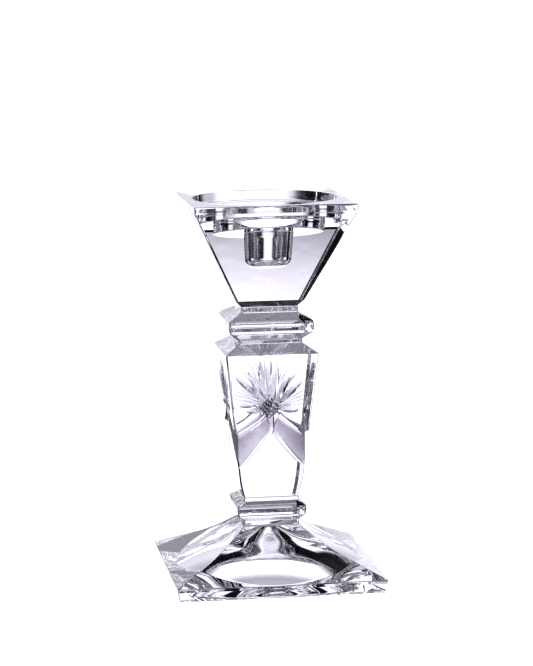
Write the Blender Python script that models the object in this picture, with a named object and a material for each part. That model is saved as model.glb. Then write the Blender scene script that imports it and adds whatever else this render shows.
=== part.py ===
"""Square cut-glass candlestick: a foot, a stem, two knops and a cup, bonded neck to neck.

Every outside surface is a square turning: an outline of half width against height, carried
round a square plan with narrow rounded corners. The wells, the candle socket and the hollow
under the foot are turned about the same upright axis. A burst of mitre cuts with two hanging
ribbons is cut into each of the stem's four faces.

Metres, +Z up. The origin is at the middle of the face that the foot stands on, and the four
faces of the stem look along -Y, +X, +Y and -X.
"""

import math

import bmesh
import bpy
from mathutils import Matrix, Vector

# The stack, from the table up. Each piece reaches to the next one's underside less the bond line.
FOOT_HEIGHT = 0.0303
LOWER_KNOP_HEIGHT = 0.0131
STEM_HEIGHT = 0.0834
UPPER_KNOP_HEIGHT = 0.0166
CUP_HEIGHT = 0.0566
BOND_LINE = 0.0003

# Half widths of the square plan.
FOOT_EDGE = 0.0545
FOOT_UNDERSIDE = 0.05325
FOOT_NECK = 0.01475
LOWER_KNOP_NOSE = 0.0183
STEM_FOOT_NECK = 0.0145
STEM_SHOULDER = 0.02435
STEM_CUP_NECK = 0.0167
UPPER_KNOP_NOSE = 0.0222
CUP_NECK = 0.0149
CUP_RIM = 0.0420

# The rounding of the upright corners.
FOOT_CORNER = 0.0006
KNOP_CORNER = 0.0018
STEM_CORNER = 0.0016
CUP_CORNER = 0.0012
CORNER_STEPS = 3
ARC_STEPS = 4

# Heights on the stem's own axis where its taper begins and ends.
TAPER_BOTTOM = (0.0165, 0.0084)
TAPER_TOP = (STEM_SHOULDER, 0.0776)

# The cup: two round wells, one inside the other, and the candle socket.
RIM_WELL_RADIUS = 0.0376
RIM_WELL_DEPTH = 0.0052
DRIP_WELL_RADIUS = 0.0290
DRIP_WELL_DEPTH = 0.0106
SOCKET_TOP_RADIUS = 0.0129
SOCKET_BASE_RADIUS = 0.0118
SOCKET_DEPTH = 0.0305

# The hollow under the foot: a shallow cap of a sphere with a soft peak in its middle.
HOLLOW_RADIUS = 0.0445
HOLLOW_LIP = 0.0004
HOLLOW_DOME = 0.0145
HOLLOW_PEAK = 0.0078
HOLLOW_PEAK_WIDTH = 0.0099
DOME_STEPS = 16

TURNED_STEPS = 56
CUTTER_CLEARANCE = 0.002

# The burst on a stem face, measured on the face from its middle: X across, Y up the slope.
BURST_HEIGHT = 0.0491
LEAF_WIDTH = 0.0034
LEAF_DEPTH = 0.0011
LEAF_LEAN = 0.20
LEAF_STEPS = 6
LEAVES = (  # direction in degrees from X, reach
    (-6, 0.0142),
    (43, 0.0217),
    (63, 0.0197),
    (84, 0.0232),
    (98, 0.0240),
    (118, 0.0200),
    (137, 0.0222),
    (186, 0.0142),
    (269, 0.0145),
)
RAY_WIDTH = 0.0007
RAY_DEPTH = 0.0002
RAY_STEPS = 2
RAYS = (8, 16, 23, 30, 56, 71, 77, 90, 109, 118, 125, 148, 155, 163, 171)
RAY_SIDE_REACH = 0.0190
RAY_TOP_REACH = 0.0255

# A ribbon hangs from the burst to the stem's corner. Its upper border, the keel under that
# border and its lower border are curves of three guide points on the face: where the curve
# starts, the point it bends toward, and where it leaves the face.
RIBBON_UPPER = ((0.0044, -0.0020), (0.0106, -0.0096), (0.0230, -0.0143))
RIBBON_KEEL = ((0.0024, -0.0055), (0.0090, -0.0118), (0.0230, -0.0196))
RIBBON_LOWER = ((0.0006, -0.0105), (0.0053, -0.0215), (0.0225, -0.0385))
RIBBON_LIP = 0.0010
RIBBON_LIP_DEPTH = 0.0004
RIBBON_STEPS = 8

RIBBON_DEPTH = 0.0010

GLASS_COLOUR = (0.97, 0.965, 1.0, 1.0)
GLASS_INDEX = 1.545


def clear_scene():
    for obj in list(bpy.data.objects):
        bpy.data.objects.remove(obj)


def glass(name):
    """Clear lead crystal."""
    material = bpy.data.materials.new(name)
    material.use_nodes = True
    shader = material.node_tree.nodes["Principled BSDF"]
    shader.inputs["Base Color"].default_value = GLASS_COLOUR
    shader.inputs["Roughness"].default_value = 0.02
    shader.inputs["Metallic"].default_value = 0.0
    shader.inputs["IOR"].default_value = GLASS_INDEX
    shader.inputs["Transmission Weight"].default_value = 1.0
    return material


def rounded(corners):
    """An outline through (across, height, radius) corners, each turned into an arc."""
    outline = []
    for index, (across, height, radius) in enumerate(corners):
        corner = Vector((across, height))
        if radius == 0:
            outline.append(corner)
            continue
        back = (Vector(corners[index - 1][:2]) - corner).normalized()
        ahead = (Vector(corners[index + 1][:2]) - corner).normalized()
        half_angle = back.angle(ahead) / 2
        centre = corner + (back + ahead).normalized() * radius / math.sin(half_angle)
        first = corner + back * radius / math.tan(half_angle) - centre
        last = corner + ahead * radius / math.tan(half_angle) - centre
        clockwise = first.angle_signed(last)
        for step in range(ARC_STEPS + 1):
            turn = Matrix.Rotation(-clockwise * step / ARC_STEPS, 2)
            outline.append(centre + turn @ first)
    return outline


def square_ring(bm, half_width, height, corner_radius):
    """Vertices round a square with rounded corners."""
    ring = []
    inset = half_width - corner_radius
    for quarter in range(4):
        diagonal = math.radians(45 + 90 * quarter)
        centre = Vector((math.cos(diagonal), math.sin(diagonal))) * inset * math.sqrt(2)
        for step in range(CORNER_STEPS + 1):
            angle = math.radians(90) * (quarter + step / CORNER_STEPS)
            arm = Vector((math.cos(angle), math.sin(angle))) * corner_radius
            ring.append(bm.verts.new((*(centre + arm), height)))
    return ring


def skin(bm, lower, upper):
    """Faces between two rings of the same length."""
    for index in range(len(lower)):
        after = (index + 1) % len(lower)
        bm.faces.new((lower[index], lower[after], upper[after], upper[index]))


def mesh_object(name, bm, location=(0, 0, 0)):
    mesh = bpy.data.meshes.new(name)
    bm.to_mesh(mesh)
    bm.free()
    obj = bpy.data.objects.new(name, mesh)
    obj.location = location
    bpy.context.scene.collection.objects.link(obj)
    return obj


def square_turning(name, corners, corner_radius, base_height):
    """A glass piece: its outline, from the underside up, carried round the square plan."""
    bm = bmesh.new()
    outline = rounded(corners)
    rings = [square_ring(bm, across, height, corner_radius) for across, height in outline]
    for lower, upper in zip(rings, rings[1:]):
        skin(bm, lower, upper)
    bm.faces.new(list(reversed(rings[0])))
    bm.faces.new(rings[-1])
    piece = mesh_object(name, bm, (0, 0, base_height))
    piece.data.materials.append(glass(f"{name}_glass"))
    piece.data.shade_smooth()
    piece.data.set_sharp_from_angle(angle=math.radians(20))
    return piece


def cut(piece, cutter, shapes_cross=False):
    """Takes the cutter's shape out of the piece."""
    cutter.parent = piece
    cutter.hide_render = True
    cutter.display_type = "WIRE"
    modifier = piece.modifiers.new(cutter.name, "BOOLEAN")
    modifier.operation = "DIFFERENCE"
    modifier.object = cutter
    modifier.use_self = shapes_cross


def turned_cutter(name, corners):
    """A closed round solid whose outline runs up from the axis and back to it."""
    bm = bmesh.new()
    outline = rounded(corners)
    bottom = bm.verts.new((0, 0, outline[0].y))
    top = bm.verts.new((0, 0, outline[-1].y))
    rings = []
    for radius, height in outline[1:-1]:
        turn = [math.tau * step / TURNED_STEPS for step in range(TURNED_STEPS)]
        places = [(radius * math.cos(a), radius * math.sin(a), height) for a in turn]
        rings.append([bm.verts.new(place) for place in places])
    for lower, upper in zip(rings, rings[1:]):
        skin(bm, lower, upper)
    for index in range(TURNED_STEPS):
        after = (index + 1) % TURNED_STEPS
        bm.faces.new((bottom, rings[0][after], rings[0][index]))
        bm.faces.new((top, rings[-1][index], rings[-1][after]))
    return mesh_object(name, bm)


def dome_with_peak():
    """The hollow's outline from its edge up to the axis."""
    sphere = (HOLLOW_RADIUS**2 + HOLLOW_DOME**2) / (2 * HOLLOW_DOME)
    outline = []
    for step in range(DOME_STEPS + 1):
        radius = HOLLOW_RADIUS * (1 - step / DOME_STEPS)
        cap = HOLLOW_DOME - sphere + math.sqrt(sphere**2 - radius**2)
        peak = HOLLOW_PEAK * math.exp(-((radius / HOLLOW_PEAK_WIDTH) ** 2))
        outline.append((radius, HOLLOW_LIP + cap + peak, 0))
    return outline


def make_foot():
    """A low pyramid with a rolled edge, rising in a hollow curve to the neck."""
    foot = square_turning(
        "foot",
        (
            (FOOT_UNDERSIDE, 0, 0),
            (FOOT_EDGE - 0.0001, 0.0052, 0.0006),
            (FOOT_EDGE, 0.0069, 0.0008),
            (0.0260, 0.0200, 0.0900),
            (FOOT_NECK, 0.0290, 0.0004),
            (FOOT_NECK, FOOT_HEIGHT - BOND_LINE, 0),
        ),
        FOOT_CORNER,
        0,
    )
    hollow = turned_cutter(
        "underside_hollow",
        (
            (0, -CUTTER_CLEARANCE, 0),
            (HOLLOW_RADIUS + HOLLOW_LIP, -CUTTER_CLEARANCE, 0),
            (HOLLOW_RADIUS + HOLLOW_LIP, HOLLOW_LIP / 2, 0),
            *dome_with_peak(),
        ),
    )
    cut(foot, hollow)


def make_lower_knop():
    square_turning(
        "lower_knop",
        (
            (FOOT_NECK, 0, 0),
            (FOOT_NECK, 0.0017, 0.0004),
            (LOWER_KNOP_NOSE - 0.0001, 0.0046, 0.0022),
            (LOWER_KNOP_NOSE, 0.0096, 0.0021),
            (STEM_FOOT_NECK, 0.0121, 0.0004),
            (STEM_FOOT_NECK, LOWER_KNOP_HEIGHT - BOND_LINE, 0),
        ),
        KNOP_CORNER,
        FOOT_HEIGHT,
    )


def make_upper_knop():
    square_turning(
        "upper_knop",
        (
            (STEM_CUP_NECK, 0, 0),
            (STEM_CUP_NECK, 0.0009, 0.0004),
            (UPPER_KNOP_NOSE - 0.0001, 0.0053, 0.0032),
            (UPPER_KNOP_NOSE, 0.0112, 0.0026),
            (CUP_NECK, 0.0150, 0.0004),
            (CUP_NECK, UPPER_KNOP_HEIGHT - BOND_LINE, 0),
        ),
        KNOP_CORNER,
        FOOT_HEIGHT + LOWER_KNOP_HEIGHT + STEM_HEIGHT,
    )


def make_cup():
    """A square funnel with a thick rolled rim, two round wells and the candle socket."""
    cup = square_turning(
        "cup",
        (
            (CUP_NECK, 0, 0),
            (CUP_NECK, 0.0016, 0.0004),
            (0.0178, 0.0047, 0.0020),
            (CUP_RIM - 0.0009, 0.0514, 0.0010),
            (CUP_RIM, 0.0530, 0.0010),
            (CUP_RIM, CUP_HEIGHT, 0.0010),
            (CUP_RIM - 0.0015, CUP_HEIGHT, 0),
        ),
        CUP_CORNER,
        FOOT_HEIGHT + LOWER_KNOP_HEIGHT + STEM_HEIGHT + UPPER_KNOP_HEIGHT,
    )
    above = CUP_HEIGHT + CUTTER_CLEARANCE
    wells = turned_cutter(
        "wells_and_socket",
        (
            (0, CUP_HEIGHT - SOCKET_DEPTH, 0),
            (SOCKET_BASE_RADIUS, CUP_HEIGHT - SOCKET_DEPTH, 0.0052),
            (SOCKET_TOP_RADIUS, CUP_HEIGHT - DRIP_WELL_DEPTH, 0.0005),
            (DRIP_WELL_RADIUS, CUP_HEIGHT - DRIP_WELL_DEPTH, 0.0008),
            (DRIP_WELL_RADIUS, CUP_HEIGHT - RIM_WELL_DEPTH, 0.0006),
            (RIM_WELL_RADIUS, CUP_HEIGHT - RIM_WELL_DEPTH, 0.0008),
            (RIM_WELL_RADIUS, above, 0),
            (0, above, 0),
        ),
    )
    cut(cup, wells)


def groove(bm, sections):
    """A closed cutter: a tip, triangular sections, and a tip."""
    first, *middle, last = sections
    start = bm.verts.new(first)
    end = bm.verts.new(last)
    rings = [[bm.verts.new(point) for point in section] for section in middle]
    for lower, upper in zip(rings, rings[1:]):
        skin(bm, lower, upper)
    for index in range(3):
        after = (index + 1) % 3
        bm.faces.new((start, rings[0][after], rings[0][index]))
        bm.faces.new((end, rings[-1][index], rings[-1][after]))


def mitre_cut(bm, direction, reach, width, depth, steps, lean=0.0):
    """A pointed V cut that runs from the middle of the burst, widest and deepest halfway.

    The lean, as a share of the width, shifts the keel so that one facet is the steeper.
    """
    along = Vector((math.cos(direction), math.sin(direction), 0))
    across = Vector((-along.y, along.x, 0))
    up = Vector((0, 0, 1))
    sections = [up * width * 0.1]
    for step in range(1, steps):
        share = step / steps
        swell = math.sin(math.pi * share) ** 0.7
        middle = along * reach * share
        drop = up * depth * swell
        half = across * width / 2 * swell
        keel = middle + across * width * lean * swell - drop
        sides = (middle + half, middle - half)
        left, right = (keel + (side - keel) * 3 for side in sides)
        sections.append((left, keel, right))
    sections.append(along * reach + up * width * 0.1)
    groove(bm, sections)


def on_curve(guides, share, side):
    """A point on the curve of three guide points, turned to the left or the right side."""
    start, bend, end = (Vector((side * x, y, 0)) for x, y in guides)
    return start.lerp(bend, share).lerp(bend.lerp(end, share), share)


def ribbon_cut(bm, side):
    """A hanging ribbon: a broad flat panel under the face, with a sloping wall on each side."""
    rings = []
    up = Vector((0, 0, 1))
    for step in range(RIBBON_STEPS + 1):
        share = step / RIBBON_STEPS
        growth = min(1, 0.3 + 2 * share)
        upper = on_curve(RIBBON_UPPER, share, side)
        keel = on_curve(RIBBON_KEEL, share, side)
        lower = on_curve(RIBBON_LOWER, share, side)
        lip = lower + (keel - lower).normalized() * RIBBON_LIP * growth
        high_edge = keel - up * RIBBON_DEPTH * growth
        low_edge = lip - up * RIBBON_LIP_DEPTH * growth
        section = (upper * 2 - high_edge, high_edge, low_edge, lower * 2 - low_edge)
        rings.append([bm.verts.new(point) for point in section])
    for lower_ring, upper_ring in zip(rings, rings[1:]):
        skin(bm, lower_ring, upper_ring)
    bm.faces.new(rings[0])
    bm.faces.new(list(reversed(rings[-1])))


def burst_cutter(name):
    """Everything that is cut into one face, lying in the XY plane with the glass below it."""
    bm = bmesh.new()
    for degrees, reach in LEAVES:
        direction = math.radians(degrees)
        lean = -LEAF_LEAN if math.cos(direction) > 0 else LEAF_LEAN
        mitre_cut(bm, direction, reach, LEAF_WIDTH, LEAF_DEPTH, LEAF_STEPS, lean)
    for degrees in RAYS:
        direction = math.radians(degrees)
        reach = min(RAY_TOP_REACH, RAY_SIDE_REACH / abs(math.cos(direction)))
        mitre_cut(bm, direction, reach, RAY_WIDTH, RAY_DEPTH, RAY_STEPS)
    for side in (-1, 1):
        ribbon_cut(bm, side)
    bmesh.ops.recalc_face_normals(bm, faces=bm.faces)
    return mesh_object(name, bm)


def make_stem():
    """A tapering square column, narrow end down, with the cut decoration on its faces."""
    stem = square_turning(
        "stem",
        (
            (STEM_FOOT_NECK, 0, 0),
            (STEM_FOOT_NECK, 0.0012, 0.0004),
            (*TAPER_BOTTOM, 0.0550),
            (*TAPER_TOP, 0.0008),
            (STEM_CUP_NECK, 0.0824, 0.0004),
            (STEM_CUP_NECK, STEM_HEIGHT - BOND_LINE, 0),
        ),
        STEM_CORNER,
        FOOT_HEIGHT + LOWER_KNOP_HEIGHT,
    )
    rise = TAPER_TOP[1] - TAPER_BOTTOM[1]
    slope = (TAPER_TOP[0] - TAPER_BOTTOM[0]) / rise
    face_distance = TAPER_BOTTOM[0] + slope * (BURST_HEIGHT - TAPER_BOTTOM[1])
    stand_up = Matrix.Rotation(math.radians(90) + math.atan(slope), 4, "X")
    to_face = Matrix.Translation((0, -face_distance, BURST_HEIGHT)) @ stand_up
    for face, name in enumerate(("front", "right", "back", "left")):
        cutter = burst_cutter(f"{name}_burst")
        cut(stem, cutter, shapes_cross=True)
        cutter.matrix_local = Matrix.Rotation(math.radians(90) * face, 4, "Z") @ to_face


def main():
    clear_scene()
    make_foot()
    make_lower_knop()
    make_stem()
    make_upper_knop()
    make_cup()
    candlestick = bpy.data.objects.new("candlestick", None)
    bpy.context.scene.collection.objects.link(candlestick)
    for name in ("foot", "lower_knop", "stem", "upper_knop", "cup"):
        bpy.data.objects[name].parent = candlestick


main()
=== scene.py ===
"""The looks of a square cut-glass candlestick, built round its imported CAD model.

Each of the five CAD nodes is replaced by one piece of clear lead crystal with the fine edges,
round wells, polished leaf cuts and satin ribbons of the real thing. The pieces meet at the
necks, where their end faces are optically bonded, so that light passes straight through.
"""

import math

import bmesh
import bpy
from mathutils import Matrix, Vector

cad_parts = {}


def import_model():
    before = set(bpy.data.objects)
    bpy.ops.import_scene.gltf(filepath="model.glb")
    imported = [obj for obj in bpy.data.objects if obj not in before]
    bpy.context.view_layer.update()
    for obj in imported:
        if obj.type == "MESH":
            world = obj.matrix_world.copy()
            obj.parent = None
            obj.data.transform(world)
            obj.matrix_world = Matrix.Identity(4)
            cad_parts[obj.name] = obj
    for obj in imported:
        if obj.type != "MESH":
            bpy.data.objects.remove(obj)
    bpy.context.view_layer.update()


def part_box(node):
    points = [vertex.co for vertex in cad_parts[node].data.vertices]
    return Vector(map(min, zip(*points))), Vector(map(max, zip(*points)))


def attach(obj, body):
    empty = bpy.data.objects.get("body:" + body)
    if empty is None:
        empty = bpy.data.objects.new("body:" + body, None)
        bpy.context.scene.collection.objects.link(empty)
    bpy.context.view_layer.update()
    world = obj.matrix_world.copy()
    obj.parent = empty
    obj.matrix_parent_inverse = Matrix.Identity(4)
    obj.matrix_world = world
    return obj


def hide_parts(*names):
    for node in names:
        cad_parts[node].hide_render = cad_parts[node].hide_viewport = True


BODY = "root"

# How finely curves are drawn: degrees turned by one step of an arc, and counts of steps.
ARC_STEP = 3.0
ROUND_STEPS = 192
DOME_STEPS = 60

# Edges that turn by more than this many degrees are shaded as sharp.
SHARP_ANGLE = 12.0

# Radius of the upright corners of the square pieces.
FOOT_CORNER = 0.0006
KNOP_CORNER = 0.0018
STEM_CORNER = 0.0016
CUP_CORNER = 0.0012

# Half width of the square necks where the pieces meet, from the lowest up.
FOOT_NECK = 0.01475
STEM_BASE_NECK = 0.0145
STEM_TOP_NECK = 0.0167
CUP_NECK = 0.0149

# Places in every piece's list of materials.
POLISHED, BONDED, SATIN, GROUND = 0, 1, 2, 3

# The stem's taper, in heights above the stem's underside.
TAPER_BOTTOM = (0.0165, 0.0084)
TAPER_TOP_HEIGHT = 0.0776
BURST_HEIGHT = 0.0491

# Wells, socket and hollow, measured from the rim or from the table.
RIM_WELL_RADIUS = 0.0376
RIM_WELL_DEPTH = 0.0052
DRIP_WELL_RADIUS = 0.0290
DRIP_WELL_DEPTH = 0.0106
SOCKET_TOP_RADIUS = 0.0129
SOCKET_BASE_RADIUS = 0.0118
SOCKET_DEPTH = 0.0305
HOLLOW_RADIUS = 0.0445
HOLLOW_LIP = 0.0004
HOLLOW_DOME = 0.0145
HOLLOW_PEAK = 0.0078
HOLLOW_PEAK_WIDTH = 0.0099

# How far a cutter stands out of the glass.
CLEARANCE = 0.002

# The cuts on a stem face, measured on the face from the burst's middle: X across, Y up. The
# lean of a leaf's keel is a share of its width.
LEAF_WIDTH = 0.0034
LEAF_DEPTH = 0.0011
LEAF_LEAN = 0.20
LEAF_START = 0.0028
LEAF_STEPS = 12
LEAVES = (  # direction in degrees from X, reach
    (-6, 0.0142),
    (43, 0.0217),
    (63, 0.0197),
    (84, 0.0232),
    (98, 0.0240),
    (118, 0.0200),
    (137, 0.0222),
    (186, 0.0142),
    (269, 0.0145),
)
RAY_WIDTH = 0.0007
RAY_DEPTH = 0.0002
RAY_STEPS = 6
RAYS = (8, 16, 23, 30, 56, 71, 77, 90, 109, 118, 125, 148, 155, 163, 171)
RAY_SIDE_REACH = 0.0190
RAY_TOP_REACH = 0.0255
HATCH_MIDDLE = (-0.0014, 0.0003)
HATCH_REACH = 0.0052
HATCH_PITCH = 0.0018
HATCH_ROWS = (-2, -1, 0, 1, 2)
HATCH_WIDTH = 0.0016
HATCH_DEPTH = 0.0013
HATCH_TURNS = (50, 130)

# The ribbons, each drawn by three curves of three guide points: its upper border, the keel
# under the wide flute, and its lower border. The lip is the narrow flute's width, which starts
# at the knot as a share of itself. The rise is the cutter's height above the face in steps of
# a flute.
RIBBON_UPPER = ((0.0044, -0.0020), (0.0106, -0.0096), (0.0230, -0.0143))
RIBBON_KEEL = ((0.0024, -0.0055), (0.0090, -0.0118), (0.0230, -0.0196))
RIBBON_LOWER = ((0.0006, -0.0105), (0.0053, -0.0215), (0.0225, -0.0385))
RIBBON_LIP = 0.0020
LIP_AT_KNOT = 0.3
LIP_GROWTH = 2
RIBBON_RISE = 1.5
RIBBON_STEPS = 24

# Slopes in degrees at the start and the end of a ribbon's flutes.
WIDE_FLUTE = (66, -22)
NARROW_FLUTE = (47, -42)
FLUTE_STEPS = 8

# How every V cut swells from its tips to its middle, and how far its cutter stands above the
# face: at the tips in widths, along the cut in depths.
SWELL_POWER = 0.7
TIP_RISE = 0.1
CUTTER_RISE = 3

# The glass and its surface: noise scales per metre, heights in metres.
CRYSTAL_IOR = 1.545
HAZE_SCALE = 70
HAZE = 0.012
WAVE_SCALE = 90
WAVE_HEIGHT = 0.00002
CLOUD_SCALE = 500
FROST_RANGE = 0.08
TOOTH_SCALE = 5000
TOOTH_HEIGHT = 0.00002

# The camera looks at a point on the candlestick's axis.
CAMERA_AIM = (0.0004, 0.0, 0.1287)
CAMERA_DISTANCE = 1.3845
CAMERA_AZIMUTH = -8.60
CAMERA_ELEVATION = 9.03
CAMERA_ROLL = -0.52
CAMERA_LENS = 143.19

# The floor, and the studio. Soft boxes are (azimuths), (half width, fade), (elevation, half
# height, fade), strength, in degrees. Azimuth 0 is straight behind the candlestick as the camera
# sees it, and it grows to the right.
FLOOR_HALF = 12.0
FLOOR_DROP = 0.0003
FLOOR_GLOW = 1.0
FLOOR_MIRROR = 0.07
STUDIO_TURN = -CAMERA_AZIMUTH
STUDIO_TINT = (0.985, 0.96, 1.06)
SOFT_BOXES = (
    ((0,), (20, 14), (5, 24.3, 5.5), 0.74),
    ((-26,), (12, 10), (0, 16, 6), 0.42),
    ((81, 171, -99), (13, 8), (-3, 14, 6), 0.85),
    ((81, 171, -99), (13, 8), (27, 6, 4), 0.60),
    ((126, -144), (14, 10), (0, 18, 6), 0.90),
    ((180,), (116, 14), (8, 20, 6), 0.06),
    ((0,), (24, 16), (-27, 7, 8), 0.22),
    ((0,), (180, 10), (-26, 15, 6), 0.18),
    ((0,), (180, 10), (-66, 25, 6), 0.24),
    ((0,), (180, 10), (-90, 30, 8), 0.30),
    ((0,), (180, 10), (72, 18, 12), 0.20),
)


# ---------------------------------------------------------------- materials


def new_material(name):
    material = bpy.data.materials.new(name)
    material.use_nodes = True
    return material, material.node_tree.nodes, material.node_tree.links


def grain(nodes, links, scale, detail):
    """Solid noise that sits in the glass."""
    place = nodes.new("ShaderNodeTexCoord")
    noise = nodes.new("ShaderNodeTexNoise")
    noise.inputs["Scale"].default_value = scale
    noise.inputs["Detail"].default_value = detail
    links.new(place.outputs["Object"], noise.inputs["Vector"])
    return noise.outputs["Fac"]


def spread(nodes, links, value, low, high):
    """The middle of a noise value stretched from low to high."""
    node = nodes.new("ShaderNodeMapRange")
    node.inputs["From Min"].default_value = 0.35
    node.inputs["From Max"].default_value = 0.65
    node.inputs["To Min"].default_value = low
    node.inputs["To Max"].default_value = high
    links.new(value, node.inputs["Value"])
    return node.outputs["Result"]


def relief(nodes, links, height, distance):
    """The surface tilted by a height between 0 and 1 that stands for the distance."""
    bump = nodes.new("ShaderNodeBump")
    bump.inputs["Distance"].default_value = distance
    links.new(height, bump.inputs["Height"])
    return bump.outputs["Normal"]


def polished_crystal():
    """Fire-bright glass: polishing leaves slow waves and a trace of haze in places."""
    material, nodes, links = new_material("polished_crystal")
    shader = nodes["Principled BSDF"]
    shader.inputs["Base Color"].default_value = (0.985, 0.98, 1.0, 1)
    shader.inputs["IOR"].default_value = CRYSTAL_IOR
    shader.inputs["Transmission Weight"].default_value = 1.0
    haze = spread(nodes, links, grain(nodes, links, HAZE_SCALE, 3), 0.0, HAZE)
    links.new(haze, shader.inputs["Roughness"])
    waves = relief(nodes, links, grain(nodes, links, WAVE_SCALE, 1), WAVE_HEIGHT)
    links.new(waves, shader.inputs["Normal"])
    return material


def bonded_face():
    """The face between two bonded pieces, which light passes as if it were not there."""
    material, nodes, links = new_material("bonded_face")
    nodes.remove(nodes["Principled BSDF"])
    clear = nodes.new("ShaderNodeBsdfTransparent")
    links.new(clear.outputs["BSDF"], nodes["Material Output"].inputs["Surface"])
    return material


def frosted_crystal(name, tint_and_painted_shade, roughness):
    """Glass left as the wheel or the acid made it: a fine tooth with cloudier patches, under a
    given tint that for the satin is painted shade.
    """
    material, nodes, links = new_material(name)
    shader = nodes["Principled BSDF"]
    # The tint colours the light through the glass; the satin's dark lavender grey is painted
    # shade.
    shader.inputs["Base Color"].default_value = (*tint_and_painted_shade, 1)
    shader.inputs["IOR"].default_value = CRYSTAL_IOR
    shader.inputs["Transmission Weight"].default_value = 1.0
    cloud = grain(nodes, links, CLOUD_SCALE, 4)
    patches = spread(nodes, links, cloud, roughness - FROST_RANGE, roughness + FROST_RANGE)
    links.new(patches, shader.inputs["Roughness"])
    tooth = relief(nodes, links, grain(nodes, links, TOOTH_SCALE, 2), TOOTH_HEIGHT)
    links.new(tooth, shader.inputs["Normal"])
    return material


# ------------------------------------------------------------------- shapes


def rounded(corners):
    """An outline through (across, height, radius) corners, each turned into an arc."""
    outline = []
    for index, (across, height, radius) in enumerate(corners):
        corner = Vector((across, height))
        if radius == 0:
            outline.append(corner)
            continue
        back = (Vector(corners[index - 1][:2]) - corner).normalized()
        ahead = (Vector(corners[index + 1][:2]) - corner).normalized()
        half_angle = back.angle(ahead) / 2
        centre = corner + (back + ahead).normalized() * radius / math.sin(half_angle)
        first = corner + back * radius / math.tan(half_angle) - centre
        last = corner + ahead * radius / math.tan(half_angle) - centre
        clockwise = first.angle_signed(last)
        steps = max(2, math.ceil(abs(math.degrees(clockwise)) / ARC_STEP))
        for step in range(steps + 1):
            turn = Matrix.Rotation(-clockwise * step / steps, 2)
            outline.append(centre + turn @ first)
    return outline


def square_ring(bm, half_width, height, corner_radius):
    """Vertices of a level square with rounded corners."""
    ring = []
    steps = round(90 / ARC_STEP)
    inset = half_width - corner_radius
    for quarter in range(4):
        diagonal = math.radians(45 + 90 * quarter)
        centre = Vector((math.cos(diagonal), math.sin(diagonal))) * inset * math.sqrt(2)
        for step in range(steps + 1):
            angle = math.radians(90) * (quarter + step / steps)
            arm = Vector((math.cos(angle), math.sin(angle))) * corner_radius
            ring.append(bm.verts.new((*(centre + arm), height)))
    return ring


def skin(bm, lower, upper):
    """Faces between two rings of the same length."""
    faces = []
    for index in range(len(lower)):
        after = (index + 1) % len(lower)
        faces.append(bm.faces.new((lower[index], lower[after], upper[after], upper[index])))
    return faces


def mesh_object(name, bm, materials=()):
    mesh = bpy.data.meshes.new(name)
    bm.to_mesh(mesh)
    bm.free()
    for material in materials:
        mesh.materials.append(material)
    obj = bpy.data.objects.new(name, mesh)
    bpy.context.scene.collection.objects.link(obj)
    return obj


def square_turning(
    name, corners, corner_radius, base_height, materials, bonded_below, bonded_above
):
    """An outline, from the underside up, carried round the square plan."""
    bm = bmesh.new()
    rings = [
        square_ring(bm, across, base_height + height, corner_radius)
        for across, height in rounded(corners)
    ]
    for lower, upper in zip(rings, rings[1:]):
        skin(bm, lower, upper)
    underside = bm.faces.new(list(reversed(rings[0])))
    underside.material_index = BONDED if bonded_below else POLISHED
    top = bm.faces.new(rings[-1])
    top.material_index = BONDED if bonded_above else POLISHED
    return mesh_object(name, bm, materials)


def dome_with_peak():
    """The hollow's outline from its edge up to the axis: a cap with a soft peak on top."""
    sphere = (HOLLOW_RADIUS**2 + HOLLOW_DOME**2) / (2 * HOLLOW_DOME)
    outline = []
    for step in range(DOME_STEPS + 1):
        radius = HOLLOW_RADIUS * (1 - step / DOME_STEPS)
        cap = HOLLOW_DOME - sphere + math.sqrt(sphere**2 - radius**2)
        peak = HOLLOW_PEAK * math.exp(-((radius / HOLLOW_PEAK_WIDTH) ** 2))
        outline.append((radius, HOLLOW_LIP + cap + peak, 0))
    return outline


def round_cutter(name, corners, base_height):
    """A closed turned solid whose outline runs up from the axis and back to it."""
    bm = bmesh.new()
    outline = rounded(corners)
    bottom = bm.verts.new((0, 0, base_height + outline[0].y))
    top = bm.verts.new((0, 0, base_height + outline[-1].y))
    rings = []
    for radius, height in outline[1:-1]:
        turn = [math.tau * step / ROUND_STEPS for step in range(ROUND_STEPS)]
        rings.append(
            [
                bm.verts.new((radius * math.cos(a), radius * math.sin(a), base_height + height))
                for a in turn
            ]
        )
    for lower, upper in zip(rings, rings[1:]):
        skin(bm, lower, upper)
    for index in range(ROUND_STEPS):
        after = (index + 1) % ROUND_STEPS
        bm.faces.new((bottom, rings[0][after], rings[0][index]))
        bm.faces.new((top, rings[-1][index], rings[-1][after]))
    return mesh_object(name, bm)


def cut(piece, cutter, shapes_cross=False):
    """Takes the cutter's shape out of the piece for good, and removes the cutter.

    The flag says that the cutter is made of several shapes that cross one another.
    """
    modifier = piece.modifiers.new("cut", "BOOLEAN")
    modifier.operation = "DIFFERENCE"
    modifier.object = cutter
    modifier.use_self = shapes_cross
    modifier.material_mode = "INDEX"
    depsgraph = bpy.context.evaluated_depsgraph_get()
    done = bpy.data.meshes.new_from_object(piece.evaluated_get(depsgraph))
    piece.modifiers.clear()
    piece.data = done
    bpy.data.objects.remove(cutter)


def finish_glass(piece, node):
    """Shading and the piece's place in the frame."""
    piece.data.shade_smooth()
    piece.data.set_sharp_from_angle(angle=math.radians(SHARP_ANGLE))
    weighted = piece.modifiers.new("even_flats", "WEIGHTED_NORMAL")
    weighted.mode = "FACE_AREA"
    weighted.weight = 100
    weighted.keep_sharp = True
    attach(piece, BODY)
    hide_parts(node)


# ------------------------------------------------------------- cuts on the stem


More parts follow.
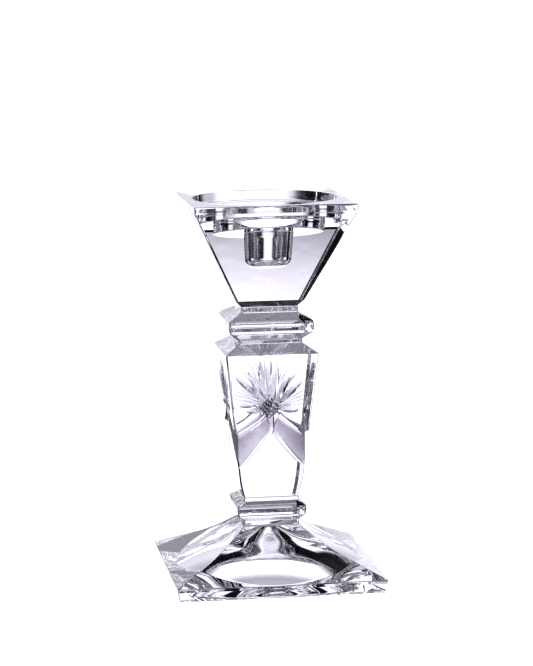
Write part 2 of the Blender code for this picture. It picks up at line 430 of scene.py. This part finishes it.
def groove(bm, sections, facets):
    """A closed cutter: a tip, triangular sections, and a tip."""
    first, *middle, last = sections
    start = bm.verts.new(first)
    end = bm.verts.new(last)
    rings = [[bm.verts.new(point) for point in section] for section in middle]
    for lower, upper in zip(rings, rings[1:]):
        for index, face in enumerate(skin(bm, lower, upper)):
            face.material_index = facets[index]
    for index in range(3):
        after = (index + 1) % 3
        ends = (
            bm.faces.new((start, rings[0][after], rings[0][index])),
            bm.faces.new((end, rings[-1][index], rings[-1][after])),
        )
        for face in ends:
            face.material_index = facets[index]


def mitre_cut(bm, start, direction, reach, width, depth, steps, facets, lean=0.0):
    """A pointed V cut, widest and deepest halfway along, with a material for each facet.

    The lean, as a share of the width, shifts the keel so that one facet is the steeper.
    """
    along = Vector((math.cos(direction), math.sin(direction), 0))
    across = Vector((-along.y, along.x, 0))
    up = Vector((0, 0, 1))
    sections = [start + up * width * TIP_RISE]
    for step in range(1, steps):
        share = step / steps
        swell = math.sin(math.pi * share) ** SWELL_POWER
        middle = start + along * reach * share
        drop = up * depth * swell
        half = across * width / 2 * swell
        keel = middle + across * width * lean * swell - drop
        sides = (middle + half, middle - half)
        left, right = (keel + (side - keel) * CUTTER_RISE for side in sides)
        sections.append((left, keel, right))
    sections.append(start + along * reach + up * width * TIP_RISE)
    groove(bm, sections, (*facets, POLISHED))


def on_curve(guides, share, side):
    """A point on the curve of three guide points, turned to the left or the right side."""
    start, bend, end = (Vector((side * x, y, 0)) for x, y in guides)
    return start.lerp(bend, share).lerp(bend.lerp(end, share), share)


def flute(border, edge, steep, gentle):
    """Points of a hollow flute from its border on the face down to the panel's edge.

    It leaves the border at the steep angle and ends climbing at the gentle one.
    """
    turns = [steep + (gentle - steep) * (step + 0.5) / FLUTE_STEPS for step in range(FLUTE_STEPS)]
    run = sum(math.cos(math.radians(turn)) for turn in turns)
    across = (edge - border) / run
    down = Vector((0, 0, -across.length))
    points = [border]
    for turn in turns:
        angle = math.radians(turn)
        points.append(points[-1] + across * math.cos(angle) + down * math.sin(angle))
    return points


def ribbon_cut(bm, side):
    """A hanging ribbon: a flute, a satin panel just under the face whose material darkens it with
    painted shade, and a narrow flute.
    """
    rings = []
    for step in range(RIBBON_STEPS + 1):
        share = step / RIBBON_STEPS
        upper = on_curve(RIBBON_UPPER, share, side)
        keel = on_curve(RIBBON_KEEL, share, side)
        lower = on_curve(RIBBON_LOWER, share, side)
        growth = min(1, LIP_AT_KNOT + LIP_GROWTH * share)
        lip = lower + (keel - lower).normalized() * RIBBON_LIP * growth
        wide = flute(upper, keel, *WIDE_FLUTE)
        narrow = flute(lower, lip, *NARROW_FLUTE)
        above = upper + (upper - wide[1]) * RIBBON_RISE
        below = lower + (lower - narrow[1]) * RIBBON_RISE
        section = (above, *wide[1:], *reversed(narrow[1:]), below)
        rings.append([bm.verts.new(point) for point in section])
    for lower_ring, upper_ring in zip(rings, rings[1:]):
        skin(bm, lower_ring, upper_ring)[FLUTE_STEPS].material_index = SATIN
    bm.faces.new(rings[0])
    bm.faces.new(list(reversed(rings[-1])))


def burst_mesh():
    """Everything that is cut into one face, lying in the XY plane with the glass below it."""
    bm = bmesh.new()
    middle = Vector((0, 0, 0))
    for degrees, reach in LEAVES:
        direction = math.radians(degrees)
        rightward = math.cos(direction) > 0
        facets = (GROUND, POLISHED) if rightward else (POLISHED, GROUND)
        lean = -LEAF_LEAN if rightward else LEAF_LEAN
        start = Vector((math.cos(direction), math.sin(direction), 0)) * LEAF_START
        shape = (reach - LEAF_START, LEAF_WIDTH, LEAF_DEPTH, LEAF_STEPS)
        mitre_cut(bm, start, direction, *shape, facets, lean)
    for degrees in RAYS:
        direction = math.radians(degrees)
        reach = min(RAY_TOP_REACH, RAY_SIDE_REACH / abs(math.cos(direction)))
        facets = (GROUND, GROUND)
        mitre_cut(bm, middle, direction, reach, RAY_WIDTH, RAY_DEPTH, RAY_STEPS, facets)
    for degrees in HATCH_TURNS:
        direction = math.radians(degrees)
        along = Vector((math.cos(direction), math.sin(direction), 0))
        across = Vector((-along.y, along.x, 0))
        for row in HATCH_ROWS:
            start = Vector((*HATCH_MIDDLE, 0)) + across * HATCH_PITCH * row - along * HATCH_REACH
            shape = (2 * HATCH_REACH, HATCH_WIDTH, HATCH_DEPTH, RAY_STEPS)
            mitre_cut(bm, start, direction, *shape, (POLISHED, POLISHED))
    for side in (-1, 1):
        ribbon_cut(bm, side)
    bmesh.ops.recalc_face_normals(bm, faces=bm.faces)
    mesh = bpy.data.meshes.new("burst")
    bm.to_mesh(mesh)
    bm.free()
    return mesh


def bursts_cutter(to_face, materials):
    """The burst on each of the four faces, as one cutter."""
    burst = burst_mesh()
    bm = bmesh.new()
    for face in range(4):
        turned = burst.copy()
        turned.transform(Matrix.Rotation(math.radians(90) * face, 4, "Z") @ to_face)
        bm.from_mesh(turned)
    return mesh_object("bursts", bm, materials)


# ------------------------------------------------------------------- pieces


def make_foot(materials):
    low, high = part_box("foot")
    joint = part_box("lower_knop")[0].z
    edge = high.x
    piece = square_turning(
        "crystal_foot",
        (
            (edge - 0.0016, 0, 0),
            (edge - 0.00125, 0.00035, 0.0003),
            (edge - 0.0001, 0.0052, 0.0006),
            (edge, 0.0069, 0.0008),
            (0.0260, 0.0200, 0.0900),
            (FOOT_NECK, 0.0290, 0.0004),
            (FOOT_NECK, joint - low.z, 0),
        ),
        FOOT_CORNER,
        low.z,
        materials,
        False,
        True,
    )
    hollow = round_cutter(
        "underside_hollow",
        (
            (0, -CLEARANCE, 0),
            (HOLLOW_RADIUS + HOLLOW_LIP, -CLEARANCE, 0),
            (HOLLOW_RADIUS + HOLLOW_LIP, HOLLOW_LIP / 2, 0),
            *dome_with_peak(),
        ),
        low.z,
    )
    cut(piece, hollow)
    finish_glass(piece, "foot")


def make_lower_knop(materials):
    low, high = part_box("lower_knop")
    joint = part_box("stem")[0].z
    nose = high.x
    piece = square_turning(
        "crystal_lower_knop",
        (
            (FOOT_NECK, 0, 0),
            (FOOT_NECK, 0.0017, 0.0004),
            (nose - 0.0001, 0.0046, 0.0022),
            (nose, 0.0096, 0.0021),
            (STEM_BASE_NECK, 0.0121, 0.0004),
            (STEM_BASE_NECK, joint - low.z, 0),
        ),
        KNOP_CORNER,
        low.z,
        materials,
        True,
        True,
    )
    finish_glass(piece, "lower_knop")


def make_upper_knop(materials):
    low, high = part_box("upper_knop")
    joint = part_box("cup")[0].z
    nose = high.x
    piece = square_turning(
        "crystal_upper_knop",
        (
            (STEM_TOP_NECK, 0, 0),
            (STEM_TOP_NECK, 0.0009, 0.0004),
            (nose - 0.0001, 0.0053, 0.0032),
            (nose, 0.0112, 0.0026),
            (CUP_NECK, 0.0150, 0.0004),
            (CUP_NECK, joint - low.z, 0),
        ),
        KNOP_CORNER,
        low.z,
        materials,
        True,
        True,
    )
    finish_glass(piece, "upper_knop")


def make_cup(materials):
    low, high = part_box("cup")
    height, rim = high.z - low.z, high.x
    piece = square_turning(
        "crystal_cup",
        (
            (CUP_NECK, 0, 0),
            (CUP_NECK, 0.0016, 0.0004),
            (0.0178, 0.0047, 0.0020),
            (rim - 0.0009, 0.0514, 0.0010),
            (rim, 0.0530, 0.0010),
            (rim, height, 0.0010),
            (rim - 0.0015, height, 0),
        ),
        CUP_CORNER,
        low.z,
        materials,
        True,
        False,
    )
    wells = round_cutter(
        "wells_and_socket",
        (
            (0, height - SOCKET_DEPTH, 0),
            (SOCKET_BASE_RADIUS, height - SOCKET_DEPTH, 0.0052),
            (SOCKET_TOP_RADIUS, height - DRIP_WELL_DEPTH, 0.0005),
            (DRIP_WELL_RADIUS, height - DRIP_WELL_DEPTH, 0.0008),
            (DRIP_WELL_RADIUS, height - RIM_WELL_DEPTH, 0.0006),
            (RIM_WELL_RADIUS, height - RIM_WELL_DEPTH, 0.0008),
            (RIM_WELL_RADIUS, height + CLEARANCE, 0),
            (0, height + CLEARANCE, 0),
        ),
        low.z,
    )
    cut(piece, wells)
    finish_glass(piece, "cup")


def make_stem(materials):
    low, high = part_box("stem")
    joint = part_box("upper_knop")[0].z
    piece = square_turning(
        "crystal_stem",
        (
            (STEM_BASE_NECK, 0, 0),
            (STEM_BASE_NECK, 0.0012, 0.0004),
            (*TAPER_BOTTOM, 0.0550),
            (high.x, TAPER_TOP_HEIGHT, 0.0008),
            (STEM_TOP_NECK, 0.0824, 0.0004),
            (STEM_TOP_NECK, joint - low.z, 0),
        ),
        STEM_CORNER,
        low.z,
        materials,
        True,
        True,
    )
    slope = (high.x - TAPER_BOTTOM[0]) / (TAPER_TOP_HEIGHT - TAPER_BOTTOM[1])
    face_distance = TAPER_BOTTOM[0] + slope * (BURST_HEIGHT - TAPER_BOTTOM[1])
    stand_up = Matrix.Rotation(math.radians(90) + math.atan(slope), 4, "X")
    to_face = Matrix.Translation((0, -face_distance, low.z + BURST_HEIGHT)) @ stand_up
    cut(piece, bursts_cutter(to_face, materials), shapes_cross=True)
    finish_glass(piece, "stem")


# -------------------------------------------------------------------- stage


def make_floor():
    """A pale lit table that mirrors the candlestick faintly.

    The glass is lit by the studio alone, so the table shows only to the camera itself.
    """
    bm = bmesh.new()
    bmesh.ops.create_grid(bm, x_segments=1, y_segments=1, size=FLOOR_HALF)
    floor = mesh_object("floor", bm)
    floor.location.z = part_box("foot")[0].z - FLOOR_DROP
    material, nodes, links = new_material("pale_floor")
    shader = nodes["Principled BSDF"]
    shader.inputs["Base Color"].default_value = (0.05, 0.05, 0.05, 1)
    shader.inputs["Roughness"].default_value = 0.6
    shader.inputs["Specular IOR Level"].default_value = 0.0
    shader.inputs["Emission Color"].default_value = (1, 1, 1, 1)
    shader.inputs["Emission Strength"].default_value = FLOOR_GLOW
    mirror = nodes.new("ShaderNodeBsdfGlossy")
    mirror.inputs["Roughness"].default_value = 0.1
    mix = nodes.new("ShaderNodeMixShader")
    mix.inputs["Fac"].default_value = FLOOR_MIRROR
    links.new(shader.outputs["BSDF"], mix.inputs[1])
    links.new(mirror.outputs["BSDF"], mix.inputs[2])
    links.new(mix.outputs["Shader"], nodes["Material Output"].inputs["Surface"])
    floor.data.materials.append(material)
    floor.visible_transmission = False
    floor.visible_glossy = False


def make_world():
    """A studio of soft boxes round the candlestick, and plain white where the camera looks."""
    world = bpy.data.worlds.new("studio")
    bpy.context.scene.world = world
    world.use_nodes = True
    nodes, links = world.node_tree.nodes, world.node_tree.links

    def maths(operation, *values):
        node = nodes.new("ShaderNodeMath")
        node.operation = operation
        for socket, value in zip(node.inputs, values):
            if isinstance(value, (int, float)):
                socket.default_value = value
            else:
                links.new(value, socket)
        return node.outputs["Value"]

    def soft_edge(distance, reach, softness):
        """One inside the reach, fading to nothing over the softness round it."""
        node = nodes.new("ShaderNodeMapRange")
        node.interpolation_type = "SMOOTHSTEP"
        links.new(distance, node.inputs["Value"])
        node.inputs["From Min"].default_value = reach + softness / 2
        node.inputs["From Max"].default_value = reach - softness / 2
        return node.outputs["Result"]

    place = nodes.new("ShaderNodeTexCoord")
    split = nodes.new("ShaderNodeSeparateXYZ")
    links.new(place.outputs["Generated"], split.inputs["Vector"])
    azimuth = maths("ARCTAN2", split.outputs["X"], split.outputs["Y"])
    azimuth = maths("MULTIPLY", azimuth, 180 / math.pi)
    elevation = maths("ARCSINE", split.outputs["Z"])
    elevation = maths("MULTIPLY", elevation, 180 / math.pi)
    total = 0.0
    for box in SOFT_BOXES:
        turns, (half_width, side_fade), (rise, half_height, end_fade), strength = box
        off_end = maths("ABSOLUTE", maths("SUBTRACT", elevation, rise))
        height = maths("MULTIPLY", soft_edge(off_end, half_height, end_fade), strength)
        for turn in turns:
            off_side = maths("SUBTRACT", azimuth, turn + STUDIO_TURN)
            off_side = maths("ABSOLUTE", maths("WRAP", off_side, 180, -180))
            shape = maths("MULTIPLY", soft_edge(off_side, half_width, side_fade), height)
            total = maths("ADD", shape, total)
    tint = nodes.new("ShaderNodeVectorMath")
    tint.operation = "SCALE"
    tint.inputs[0].default_value = STUDIO_TINT
    links.new(total, tint.inputs["Scale"])
    studio = nodes["Background"]
    links.new(tint.outputs["Vector"], studio.inputs["Color"])
    white = nodes.new("ShaderNodeBackground")
    white.inputs["Color"].default_value = (1, 1, 1, 1)
    path = nodes.new("ShaderNodeLightPath")
    mix = nodes.new("ShaderNodeMixShader")
    links.new(path.outputs["Is Camera Ray"], mix.inputs["Fac"])
    links.new(studio.outputs["Background"], mix.inputs[1])
    links.new(white.outputs["Background"], mix.inputs[2])
    links.new(mix.outputs["Shader"], nodes["World Output"].inputs["Surface"])


def make_camera():
    azimuth, elevation = math.radians(CAMERA_AZIMUTH), math.radians(CAMERA_ELEVATION)
    back = Vector(
        (
            math.sin(azimuth) * math.cos(elevation),
            -math.cos(azimuth) * math.cos(elevation),
            math.sin(elevation),
        )
    )
    data = bpy.data.cameras.new("camera")
    data.lens = CAMERA_LENS
    camera = bpy.data.objects.new("camera", data)
    turn = (-back).to_track_quat("-Z", "Y").to_matrix().to_4x4()
    roll = Matrix.Rotation(math.radians(CAMERA_ROLL), 4, "Z")
    place = Matrix.Translation(Vector(CAMERA_AIM) + back * CAMERA_DISTANCE)
    camera.matrix_world = place @ turn @ roll
    bpy.context.scene.collection.objects.link(camera)
    bpy.context.scene.camera = camera


def set_view():
    """Strong contrast, and enough light bounces for glass seen through glass."""
    scene = bpy.context.scene
    scene.view_settings.view_transform = "Standard"
    scene.view_settings.look = "Very High Contrast"
    scene.cycles.max_bounces = 32
    scene.cycles.transmission_bounces = 32
    scene.cycles.glossy_bounces = 16
    scene.cycles.transparent_max_bounces = 64


def main():
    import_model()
    materials = [
        polished_crystal(),
        bonded_face(),
        # The satin's dark lavender grey is painted shade on the ribbon panels; its roughness is
        # the real satin finish.
        frosted_crystal("satin_crystal_painted_shade", (0.56, 0.535, 0.60), 0.6),
        frosted_crystal("ground_crystal", (0.84, 0.82, 0.88), 0.3),
    ]
    make_foot(materials)
    make_lower_knop(materials)
    make_stem(materials)
    make_upper_knop(materials)
    make_cup(materials)
    make_floor()
    make_world()
    make_camera()
    set_view()


main()
